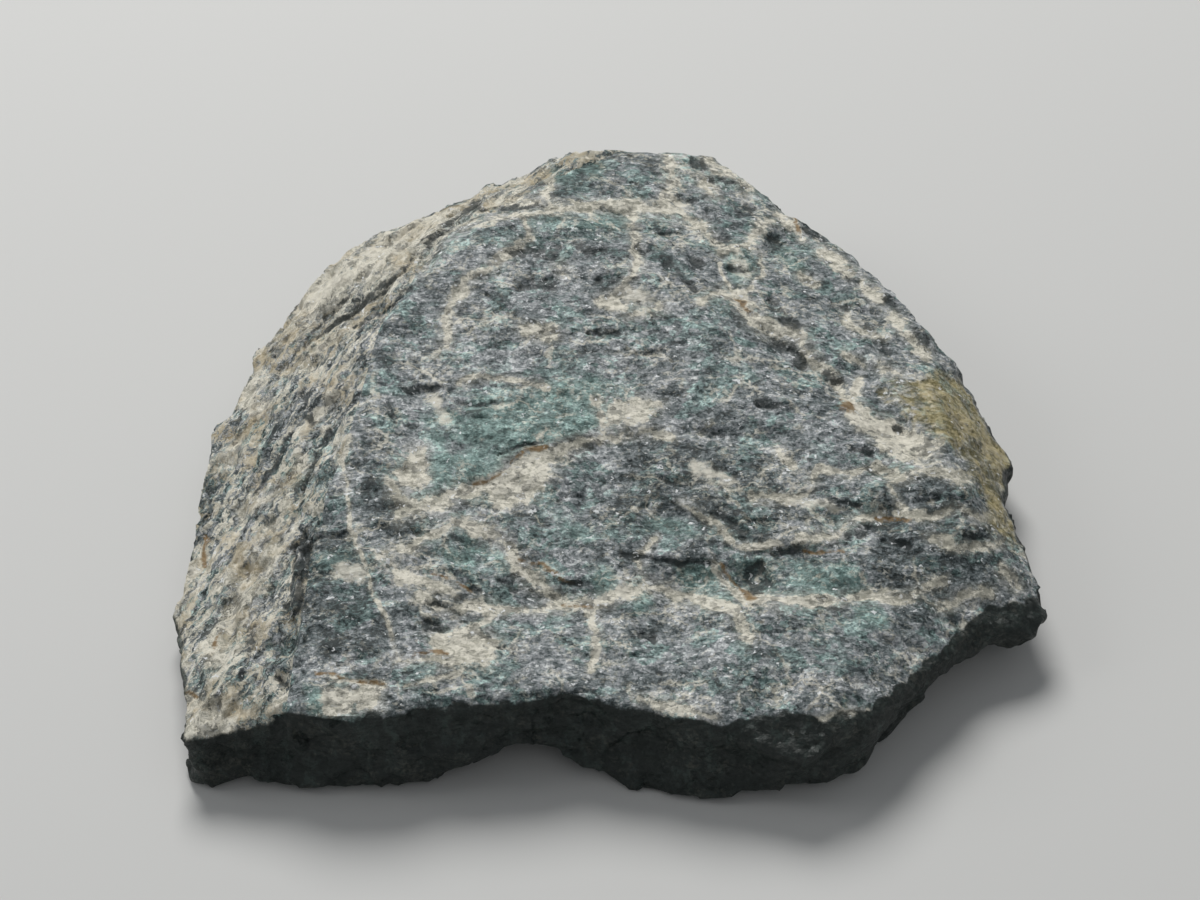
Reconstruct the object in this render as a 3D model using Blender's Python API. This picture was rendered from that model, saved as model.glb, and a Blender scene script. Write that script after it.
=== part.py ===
"""A rough slab of grandidierite, broken from a vein: one crystal mass with a large cleavage face
on top, flanks that fall away behind and to the left, and a low broken wall along the front.

Tables are in millimetres and degrees, and the mesh is in metres, +Z up. The origin is on the
surface that the slab rests on, under the middle of its box. -Y is the front, where the broken
wall shows, and +X is the end with the blunt nose.
"""

import math

import bmesh
import bpy
import numpy as np
from mathutils import Vector, noise

MM = 0.001

# Driving dimensions.
WIDTH = 38.0
DEPTH = 38.6
FRONT_RIM_Z = 4.3
CREST_Z = 8.5
GIRDLE_Z = 1.9
BLANK_TOP_Z = 10.5

REMESH_SIZE = 0.40
TARGET_TRIANGLES = 9200
FLAT_BAND = 0.03

# The plan outline, anticlockwise from the front left corner: x, y, and how far the foot is pulled
# in under it.
OUTLINE = (
    (-17.4, -17.1, -0.3),
    (-13.3, -16.9, -0.8),
    (-8.9, -17.0, -0.7),
    (-5.0, -16.6, -0.3),
    (-1.4, -16.1, -0.5),
    (1.8, -16.7, -1.1),
    (4.8, -17.7, -0.8),
    (8.4, -18.1, -0.1),
    (11.4, -17.0, 0.4),
    (13.6, -14.6, 0.8),
    (15.6, -12.4, 0.9),
    (17.3, -11.1, 0.9),
    (19.2, -10.6, 0.7),
    (20.1, -8.9, 0.5),
    (19.4, -5.6, 0.7),
    (19.2, -2.4, 0.7),
    (19.5, 0.8, 0.7),
    (18.5, 4.3, 0.8),
    (15.8, 7.6, 0.9),
    (13.6, 10.8, 0.9),
    (11.7, 14.2, 0.9),
    (10.4, 18.1, 1.0),
    (7.6, 20.9, 1.2),
    (3.0, 21.4, 1.4),
    (-2.2, 20.4, 1.3),
    (-6.6, 18.9, 1.2),
    (-10.2, 16.8, 1.0),
    (-12.8, 14.3, 0.8),
    (-15.2, 12.1, 0.8),
    (-16.9, 8.8, 0.7),
    (-18.0, 3.8, 0.6),
    (-18.9, -4.6, 0.6),
    (-19.0, -8.6, 0.6),
    (-18.2, -13.4, 0.4),
)

# Broken faces that shape the top: a point that each passes through, the way that it faces in plan
# (0 is +X, 90 is +Y), and its slope from level.
FACETS = {
    "cleavage_face": ((0.0, -16.2, FRONT_RIM_Z), -88, 7.6),
    "crest_back": ((0.0, 12.6, CREST_Z - 0.3), 92, 13),
    "crest_back_left": ((-6.0, 14.5, 7.7), 118, 22),
    "left_flank": ((-12.9, -6.0, 5.5), 178, 32),
    "left_hollow": ((-14.6, 2.0, 5.8), 166, 38),
    "back_left_flank": ((-10.6, 8.2, 7.5), 133, 27),
    "right_shoulder": ((9.0, 1.0, 6.8), 18, 11),
    "right_end": ((16.8, -1.0, 4.9), 6, 42),
    "right_back_wall": ((12.5, 11.5, 6.0), 34, 50),
    "back_right_wall": ((9.7, 18.8, 6.0), 52, 54),
    "back_wall": ((1.0, 20.2, 6.3), 96, 55),
    "front_left_corner": ((-15.2, -14.4, 4.1), -132, 20),
    "front_right_roll": ((11.4, -13.2, 4.6), -44, 24),
    "front_rim_chip": ((5.5, -17.0, 4.2), -84, 38),
    "nose_chip": ((17.9, -8.6, 3.6), -40, 30),
}

# Ledges, where a sheet of the crystal has broken off: the plan line of each, with its low side on
# the right of the line's travel, the drop at the line, and how far the low side takes to rise back.
# The drop varies along the line, by up to the uneven share, over patches of that size.
LEDGE_FACE = 0.25
LEDGE_END = 1.2
LEDGE_PATCH = 2.6
LEDGE_UNEVEN = 1.2
LEDGES = {
    "middle_sheet": (
        (
            (-7.4, -5.1),
            (-5.2, -4.2),
            (-3.7, -2.7),
            (-2.1, -2.4),
            (-0.4, -1.9),
            (1.8, -1.4),
            (3.6, -1.5),
        ),
        0.28,
        6.0,
    ),
    "bench_back": (
        (
            (-5.2, -7.2),
            (-3.0, -8.2),
            (-1.2, -8.3),
            (1.6, -8.7),
            (4.6, -8.6),
            (8.0, -7.9),
            (11.8, -7.4),
            (14.6, -7.6),
        ),
        0.45,
        7.5,
    ),
    "bench_front": (
        ((16.2, -9.6), (11.4, -10.5), (6.6, -10.7), (2.6, -10.6), (-1.6, -10.6), (-3.6, -9.4)),
        0.30,
        2.0,
    ),
    "upper_right_step": (
        ((1.6, -5.2), (3.2, -5.3), (5.0, -6.1), (6.0, -7.0), (7.8, -6.9)),
        0.30,
        3.0,
    ),
    "right_gap": (
        ((9.6, -5.6), (11.6, -5.4), (14.0, -5.2)),
        0.45,
        2.4,
    ),
    "block_wall": (
        ((-11.0, -6.8), (-12.4, -7.1), (-13.1, -8.4), (-13.2, -10.2), (-12.6, -12.4), (-12.9, -14.6)),
        1.15,
        3.6,
    ),
    "left_ridge": (
        ((-11.0, 1.6), (-11.6, -0.6), (-11.3, -3.2), (-11.2, -6.2)),
        0.55,
        3.4,
    ),
    "left_sliver": (
        ((-15.0, 3.4), (-15.8, -0.8), (-16.0, -5.0)),
        0.40,
        2.4,
    ),
    "left_front_sliver": (
        ((-15.0, -6.6), (-15.7, -9.6), (-15.6, -13.0)),
        0.45,
        2.2,
    ),
    "back_strip": (
        ((-6.8, 10.6), (-9.0, 7.6), (-11.2, 5.0), (-13.4, 3.0)),
        0.50,
        2.6,
    ),
    "back_strip_outer": (
        ((-7.8, 14.0), (-10.4, 11.0), (-13.2, 8.0), (-15.2, 5.0)),
        0.45,
        2.8,
    ),
    "crest_sheet": (
        ((5.8, 13.6), (2.6, 13.4), (-1.2, 12.9), (-5.2, 12.2)),
        0.35,
        3.2,
    ),
    "right_hollow": (
        ((8.0, 6.6), (9.2, 4.6), (10.6, 3.6), (12.4, 1.8)),
        0.40,
        3.4,
    ),
    "olive_edge": (
        ((13.0, 5.2), (13.6, 1.8), (14.6, -0.4), (15.6, -3.4)),
        0.40,
        3.0,
    ),
}

# Hollows in the upper surface: x, y, radius and depth.
PITS = (
    (-8.0, 1.1, 0.9, 0.35),
    (-12.4, 1.2, 1.5, 0.55),
    (-13.2, -3.6, 1.3, 0.35),
    (-6.4, -12.6, 1.6, 0.30),
    (-14.4, -13.2, 1.1, 0.45),
    (5.4, 14.6, 0.9, 0.30),
    (9.6, 13.4, 1.6, 0.40),
    (10.4, -6.6, 1.3, 0.35),
    (15.6, -6.0, 1.2, 0.35),
    (12.8, -3.4, 1.4, 0.30),
    (7.4, -15.6, 1.3, 0.40),
)

# Hollows under the slab, as x, y, half width, half depth and height: the arch that opens in the
# front wall, the lift under the nose, and shallow broken faces behind. They lift the wall's foot
# too, up to HOLLOW_TOP_Z.
HOLLOW_TOP_Z = 3.1
UNDER_HOLLOWS = (
    (-3.2, -16.4, 5.6, 7.0, 1.55),
    (16.0, -9.4, 6.5, 7.5, 1.30),
    (-12.5, 15.5, 7.0, 6.0, 0.90),
    (11.5, 16.5, 8.5, 5.0, 0.80),
    (-18.0, -3.0, 3.6, 9.0, 0.70),
)

# Roughness of the broken surface: swells as wave length and height, then the ridges of the blades.
SWELLS = ((9.0, 0.34), (3.6, 0.17), (1.5, 0.08))
FIBRE_LENGTH = 5.5
FIBRE_PITCH = 1.05
FIBRE_HEIGHT = 0.16
FIBRE_PATCH = 6.0

# Flat chips of the broken walls and flanks, as cell size and height. A higher edge value bends one
# chip more sharply to the next.
WALL_CHIPS = ((3.4, 0.60), (1.6, 0.22))
CHIP_EDGE = 14.0
FOOT_FADE = 0.8

# The underside: a broken cleavage face that rests on its proud parts and on a flat middle. Sheets
# missing from it are a wave length along and across the blades, and a height.
REST_MIDDLE = (0.0, -1.0)
REST_RADIUS = 4.8
REST_EDGE = 2.0
UNDER_SHEETS = ((12.0, 7.0, 0.90), (5.0, 2.2, 0.50), (2.6, 0.9, 0.24))
UNDER_BIAS = 0.02
UNDER_LEDGES = (
    (((15.5, 5.0), (9.0, 7.6), (2.0, 8.4), (-6.0, 6.4), (-16.5, 7.4)), 0.55, 8.0),
    (((-17.0, -7.0), (-9.0, -8.4), (0.0, -8.8), (8.0, -7.4), (15.0, -8.2)), 0.40, 6.0),
)


def clear_scene():
    for obj in list(bpy.data.objects):
        bpy.data.objects.remove(obj)


def inset_outline(points, insets):
    """The outline with each point moved in, along the middle of its two sides' normals."""
    moved = []
    for i, point in enumerate(points):
        before = Vector(points[i - 1])
        after = Vector(points[(i + 1) % len(points)])
        along = (after - before).normalized()
        inward = Vector((-along.y, along.x))
        moved.append(Vector(point) + inward * insets[i])
    return moved


def blank_block():
    """The block before its top is broken: foot, girdle and a straight wall up past the crest."""
    girdle = [Vector(row[:2]) for row in OUTLINE]
    foot = inset_outline(girdle, [row[2] for row in OUTLINE])
    bm = bmesh.new()
    rings = []
    for ring, z in ((foot, 0.0), (girdle, GIRDLE_Z), (girdle, BLANK_TOP_Z)):
        rings.append([bm.verts.new((p.x, p.y, z)) for p in ring])
    for low, high in zip(rings, rings[1:]):
        for i in range(len(low)):
            j = (i + 1) % len(low)
            bm.faces.new((low[i], low[j], high[j], high[i]))
    bm.faces.new(list(reversed(rings[0])))
    bm.faces.new(rings[-1])
    return bm


def facet_normal(facing, slope):
    azimuth = math.radians(facing)
    tilt = math.radians(slope)
    level = math.sin(tilt)
    return Vector((level * math.cos(azimuth), level * math.sin(azimuth), math.cos(tilt)))


def break_facets(bm):
    """Slices the block along each broken face and closes the cut."""
    for point, facing, slope in FACETS.values():
        cut = bmesh.ops.bisect_plane(
            bm,
            geom=bm.verts[:] + bm.edges[:] + bm.faces[:],
            dist=1e-5,
            plane_co=Vector(point),
            plane_no=facet_normal(facing, slope),
            clear_outer=True,
        )
        edges = [part for part in cut["geom_cut"] if isinstance(part, bmesh.types.BMEdge)]
        bmesh.ops.edgeloop_fill(bm, edges=edges)
    bmesh.ops.recalc_face_normals(bm, faces=bm.faces[:])


def object_from(bm, name):
    mesh = bpy.data.meshes.new(name)
    bm.to_mesh(mesh)
    bm.free()
    obj = bpy.data.objects.new(name, mesh)
    bpy.context.scene.collection.objects.link(obj)
    return obj


def bake_modifiers(obj):
    """Replaces the object's mesh by what its modifiers make of it."""
    graph = bpy.context.evaluated_depsgraph_get()
    made = bpy.data.meshes.new_from_object(obj.evaluated_get(graph))
    obj.modifiers.clear()
    obj.data = made


def even_mesh(obj):
    """Spreads vertices evenly over the block, close enough to carry the broken surface."""
    remesh = obj.modifiers.new("even", "REMESH")
    remesh.mode = "VOXEL"
    remesh.voxel_size = REMESH_SIZE
    bake_modifiers(obj)


def step(value):
    """0 to 1, easing in and out."""
    held = np.clip(value, 0.0, 1.0)
    return held * held * (3.0 - 2.0 * held)


def beside_line(xy, line):
    """Each point's distance to the line, its side (+1 on the right of travel), and the length of
    line from the nearest point to the nearer end."""
    best = np.full(len(xy), 1e9)
    side = np.zeros(len(xy))
    travelled = np.zeros(len(xy))
    start_length = 0.0
    for a, b in zip(np.array(line[:-1]), np.array(line[1:])):
        along = b - a
        length = np.linalg.norm(along)
        share = np.clip(((xy - a) @ along) / length**2, 0.0, 1.0)
        offset = xy - (a + share[:, None] * along)
        distance = np.linalg.norm(offset, axis=1)
        nearer = distance < best
        cross = along[0] * offset[:, 1] - along[1] * offset[:, 0]
        best[nearer] = distance[nearer]
        side[nearer] = -np.sign(cross[nearer])
        travelled[nearer] = start_length + share[nearer] * length
        start_length += length
    return best, side, np.minimum(travelled, start_length - travelled)


def ledge_drop(xy, line, drop, run):
    """How far the ledge lowers each point: most at its foot, rising back over the run."""
    distance, side, from_end = beside_line(xy, line)
    low = np.where(side < 0.0, 0.0, np.clip(1.0 - distance / run, 0.0, 1.0))
    cliff = step(distance / LEDGE_FACE)
    level = np.column_stack((xy, np.zeros(len(xy))))
    patch = (LEDGE_PATCH, LEDGE_PATCH, LEDGE_PATCH)
    uneven = 1.0 + LEDGE_UNEVEN * noise_at(level, patch, 71.0)
    return drop * uneven * low * cliff * step(from_end / LEDGE_END)


def noise_at(points, scale, offset):
    """Perlin noise, about -1 to 1, at points divided by scale, which may differ by axis."""
    spread = points / np.array(scale) + offset
    return np.array([noise.noise(Vector(p)) for p in spread])


def swell_relief(points):
    """Height of the rough surface, the same on every face."""
    relief = np.zeros(len(points))
    for number, (length, height) in enumerate(SWELLS):
        relief += height * noise_at(points, (length, length, length), 17.0 * number)
    return relief


def fibre_relief(points):
    """Ridges of the bladed crystal, which run along X on the cleavage face, in patches."""
    scale = (FIBRE_LENGTH, FIBRE_PITCH, FIBRE_PITCH)
    ridged = 0.5 - np.abs(noise_at(points, scale, 5.0)) * 2.0
    patch = (FIBRE_PATCH, FIBRE_PATCH, FIBRE_PATCH)
    strength = step(0.5 + 1.2 * noise_at(points, patch, 31.0))
    return FIBRE_HEIGHT * ridged * (0.25 + strength)


def chip_relief(points, size, height):
    """Flat chips: each cell of the space leans its own way, and bends to the next at its edge."""
    relief = np.empty(len(points))
    for i, row in enumerate(points / size):
        point = Vector(row)
        total = 0.0
        weights = 0.0
        for distance, centre in zip(*noise.voronoi(point)):
            lean = noise.cell_vector(centre * 7.3) * 2.0 - Vector((1.0, 1.0, 1.0))
            weight = math.exp(-CHIP_EDGE * distance * distance)
            total += weight * lean.dot(point - centre)
            weights += weight
        relief[i] = height * total / weights
    return relief


def under_height(xy):
    """How far the underside is broken away above the resting plane."""
    level = np.column_stack((xy, np.zeros(len(xy))))
    sheets = np.full(len(xy), UNDER_BIAS)
    for number, (length, pitch, height) in enumerate(UNDER_SHEETS):
        sheets += height * noise_at(level, (length, pitch, 1.0), 40.0 + 9.0 * number)
    for line, rise, run in UNDER_LEDGES:
        sheets += ledge_drop(xy, line, rise, run)
    from_middle = np.hypot(xy[:, 0] - REST_MIDDLE[0], xy[:, 1] - REST_MIDDLE[1])
    sheets = np.maximum(sheets, 0.0) * step((from_middle - REST_RADIUS) / REST_EDGE)
    height = np.zeros(len(xy))
    for x, y, half_width, half_depth, rise in UNDER_HOLLOWS:
        reach = np.hypot((xy[:, 0] - x) / half_width, (xy[:, 1] - y) / half_depth)
        height = np.maximum(height, rise * step(1.0 - reach))
    return height + sheets


def roughen(obj):
    """Moves the mesh's vertices to the broken surface, and lays the resting patch flat at z 0."""
    mesh = obj.data
    count = len(mesh.vertices)
    points = np.empty(count * 3)
    mesh.vertices.foreach_get("co", points)
    points = points.reshape(-1, 3)
    normals = np.array([vertex.normal for vertex in mesh.vertices])
    xy = points[:, :2].copy()

    upward = step((normals[:, 2] - 0.15) / 0.5)
    underside = normals[:, 2] < -0.6
    sideways = np.clip(1.0 - np.abs(normals[:, 2]), 0.0, 1.0)
    foot_fade = step(points[:, 2] / FOOT_FADE)

    relief = swell_relief(points)
    relief += fibre_relief(points) * (upward + 0.5 * sideways)
    for size, height in WALL_CHIPS:
        relief += chip_relief(points, size, height) * step(1.5 * sideways)
    moved = points + normals * (relief * foot_fade)[:, None]

    lowered = np.zeros(count)
    for line, drop, run in LEDGES.values():
        lowered += ledge_drop(xy, line, drop, run)
    for x, y, radius, depth in PITS:
        reach = np.hypot(xy[:, 0] - x, xy[:, 1] - y) / radius
        lowered += depth * step(1.0 - reach)
    moved[:, 2] -= lowered * upward

    hollow = under_height(xy)
    lift = hollow * step(1.0 - points[:, 2] / HOLLOW_TOP_Z)
    moved[:, 2] += np.where(underside, 0.0, lift)
    moved[underside, 2] = hollow[underside]
    moved[:, 2] = np.maximum(moved[:, 2], 0.0)

    mesh.vertices.foreach_set("co", moved.ravel())
    mesh.update()


def thin_out(obj):
    """Leaves vertices where the surface turns, down to the target count."""
    triangles = sum(len(face.vertices) - 2 for face in obj.data.polygons)
    decimate = obj.modifiers.new("thin_out", "DECIMATE")
    decimate.ratio = TARGET_TRIANGLES / triangles
    bake_modifiers(obj)


def finish_mesh(obj):
    """Flattens the resting patch exactly, fits the slab to its size, and turns mm to metres."""
    bm = bmesh.new()
    bm.from_mesh(obj.data)
    bmesh.ops.triangulate(bm, faces=bm.faces[:])
    corners = np.array([vertex.co for vertex in bm.verts])
    low = corners.min(axis=0)
    high = corners.max(axis=0)
    middle = (low + high) / 2.0
    fit_x = WIDTH / (high[0] - low[0])
    fit_y = DEPTH / (high[1] - low[1])
    for vertex in bm.verts:
        z = 0.0 if vertex.co.z < FLAT_BAND else vertex.co.z
        x = (vertex.co.x - middle[0]) * fit_x
        y = (vertex.co.y - middle[1]) * fit_y
        vertex.co = Vector((x, y, z)) * MM
    bmesh.ops.recalc_face_normals(bm, faces=bm.faces[:])
    bm.to_mesh(obj.data)
    bm.free()


def grandidierite_material():
    material = bpy.data.materials.new("grandidierite")
    material.use_nodes = True
    shader = material.node_tree.nodes["Principled BSDF"]
    shader.inputs["Base Color"].default_value = (0.13, 0.17, 0.17, 1.0)
    shader.inputs["Roughness"].default_value = 0.55
    shader.inputs["Metallic"].default_value = 0.0
    return material


def build_crystal():
    block = blank_block()
    break_facets(block)
    crystal = object_from(block, "crystal")
    even_mesh(crystal)
    roughen(crystal)
    thin_out(crystal)
    finish_mesh(crystal)
    crystal.data.materials.clear()
    crystal.data.materials.append(grandidierite_material())
    return crystal


clear_scene()
build_crystal()
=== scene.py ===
"""The looks of a rough slab of grandidierite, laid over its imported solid.

The solid's surface is remeshed finely, broken up into blades, chips and ledges, and given one
material. The veins, patches and cracks of its top are listed as lines and outlines in the pixels
of a 1200 x 900 view, and are carried from there onto the surface that the camera sees. Lengths
are in millimetres, and become metres where Blender takes them.
"""

import math

import bmesh
import bpy
import numpy as np
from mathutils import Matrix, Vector, noise


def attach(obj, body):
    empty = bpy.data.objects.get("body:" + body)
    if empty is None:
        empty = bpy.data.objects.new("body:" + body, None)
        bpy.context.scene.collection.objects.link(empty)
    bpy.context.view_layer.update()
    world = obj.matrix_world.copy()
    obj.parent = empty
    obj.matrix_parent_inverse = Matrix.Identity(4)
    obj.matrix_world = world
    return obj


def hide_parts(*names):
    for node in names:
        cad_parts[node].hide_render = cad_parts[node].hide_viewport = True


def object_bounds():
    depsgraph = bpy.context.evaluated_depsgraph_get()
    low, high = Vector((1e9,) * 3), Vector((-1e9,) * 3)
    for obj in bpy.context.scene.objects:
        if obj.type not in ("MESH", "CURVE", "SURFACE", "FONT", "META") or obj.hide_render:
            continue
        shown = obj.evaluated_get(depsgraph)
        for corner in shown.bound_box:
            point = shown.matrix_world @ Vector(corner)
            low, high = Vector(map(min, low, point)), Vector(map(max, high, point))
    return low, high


MM = 0.001
IMAGE_WIDTH = 1200
IMAGE_HEIGHT = 900

LENS = 75.0
SENSOR = 36.0
CAMERA_ELEVATION = 42.0
CAMERA_DISTANCE = 113.3
CAMERA_TARGET = (-0.4, -1.7, 4.0)
CLIP_START = 5.0

# The fine mesh: how near corners are welded, its cell size, how it is softened, its most triangles,
# the share of the thinning that the side facing the camera takes, and the angle of a sharp edge.
WELD = 0.001
VOXEL = 0.13
SOFTEN_FACTOR = 0.5
SOFTEN_ROUNDS = 5
MOST_TRIANGLES = 190000
AWAY_FLOOR = 0.2
SHARP_ANGLE = 38.0

# Where a surface counts as facing up, as its normal's Z and the span that it comes in over, and the
# span for facing the camera.
UPWARD_FROM = 0.25
UPWARD_SPAN = 0.4
SEEN_SPAN = 0.3

# The way that the blades run in plan, in degrees from +X, on the face and on the left flank.
FACE_BLADES = 3.0
FLANK_BLADES = 60.0

# The plan line that parts the left flank, on its left, from the main face, and how wide the change is.
FLANK_BLEND = 0.8
FLANK_EDGE = ((-3.5, 14.0), (-7.4, 10.4), (-10.6, 3.5), (-11.4, -3.0), (-12.6, -8.0), (-13.2, -19.0))

# The line, in pixels, where the top ends and the front wall's near-black painted shade begins, how
# far chips reach over it, their size, and its softness.
RIM_CHIPS = 14.0
RIM_CHIP_SIZE = 0.9
RIM_EDGE = 4.0
RIM = (
    (150, 742),
    (200, 742),
    (230, 738),
    (300, 724),
    (400, 718),
    (450, 708),
    (500, 704),
    (560, 702),
    (620, 709),
    (660, 716),
    (700, 723),
    (730, 720),
    (760, 717),
    (800, 720),
    (830, 718),
    (856, 712),
    (880, 700),
    (905, 680),
    (940, 650),
    (970, 624),
    (990, 606),
    (1060, 600),
)

# How often a vertex's normal is shared with its neighbours' to tell walls from the top.
BROAD_ROUNDS = 30

# A wall is where the broad normal's Z is under the first value, and it changes over the span.
WALL_UP = 0.38
WALL_SPAN = 0.32

# A wall takes the front wall's near-black painted shade where its normal's Y is under this, over a
# span. One that faces right may face further back.
FRONT_FACING = 0.1
FRONT_TURN = 0.6
FRONT_SPAN = 0.5

# What lies lower, further forward and further right than this belongs to the front wall, whichever
# way it faces, and takes the walls' darker colour and painted shade.
FRONT_FOOT_Z = 3.1
FRONT_FOOT_Y = -11.0
FRONT_FOOT_X = -13.5
FRONT_FOOT_RISE = 0.5
FRONT_FOOT_EDGE = 1.0

# Broken relief, as cell length along the blades, cell width across them, and height.
FACE_CHIPS = ((2.4, 1.1, 0.09), (0.9, 0.42, 0.06))
FLANK_CHIPS = ((3.4, 0.80, 0.26), (1.3, 0.36, 0.10))
WALL_CHIPS = ((1.7, 1.3, 0.24), (0.6, 0.5, 0.09))
CHIP_EDGE = 26.0
CELL_SPREAD = 7.3
GRAIN_SIZE = 0.38
GRAIN_HEIGHT = 0.035
SMALL_SHARE = 0.01

# Offsets that keep one noise apart from the next.
GRAIN_NOISE = 3.0
WANDER_NOISE = 50.0
WANDER_APART = (20.0, 7.0)
RIM_NOISE = 90.0

# How far the marks wander from their listed lines: the size of the bends and their reach in pixels.
WANDER = ((1.1, 5.0), (0.4, 2.5))

# Steps in the face, where a sheet has come away: the drop, how far the low side takes to rise back,
# and the line in pixels, with its low side on the right of travel. The drop comes in over the first
# length from the line, and over the second from the line's ends.
STEP_FACE = 3.0
STEP_END = 14.0
STEPS = (
    (0.10, 20, ((616, 434), (642, 429), (672, 437), (705, 446))),
    (0.20, 22, ((679, 504), (697, 511), (714, 524), (728, 539), (749, 548), (780, 545))),
    (0.16, 18, ((524, 559), (541, 565), (553, 573), (572, 581))),
    (0.30, 26, ((300, 650), (294, 612), (290, 578), (297, 548), (318, 533), (350, 529))),
    (0.14, 20, ((431, 534), (425, 510), (412, 484), (396, 470))),
    (0.16, 16, ((838, 532), (856, 534), (876, 530))),
    (0.12, 16, ((742, 300), (752, 316), (772, 328), (798, 336), (808, 356))),
    (0.14, 18, ((484, 209), (520, 213), (557, 210), (596, 206), (640, 207))),
    (0.16, 14, ((400, 272), (425, 244), (450, 221), (480, 200))),
    (0.14, 16, ((402, 392), (420, 387), (440, 386))),
    (0.12, 18, ((452, 587), (430, 578), (396, 571), (380, 556))),
    (0.12, 16, ((752, 597), (738, 588), (728, 572), (722, 560))),
    (0.12, 20, ((640, 606), (680, 600), (735, 601), (784, 594), (833, 600), (880, 594), (930, 582))),
    (0.16, 18, ((252, 648), (262, 618), (272, 588), (286, 556))),
    (0.12, 16, ((236, 470), (262, 430), (290, 392), (320, 360))),
)

# Steps of the solid that are eased into slopes: their lines, their reach in pixels, and how many
# reaches from the line the easing ends.
EASED_REACH = 12.0
EASED_CORE = 1.5
EASED_ROUNDS = 14
EASED_LINES = (
    ((425, 505), (462, 490), (492, 479), (512, 461), (552, 452), (584, 440), (616, 434), (650, 432)),
    ((490, 540), (540, 560), (596, 560), (640, 562), (700, 562), (760, 552), (840, 548), (900, 556)),
)

# How deep dark and cream marks lie, and how far past their edges the hollow starts.
DARK_DEPTH = 0.14
DARK_SPREAD = 0.3
CREAM_DEPTH = 0.04
CREAM_SPREAD = 0.2

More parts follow.
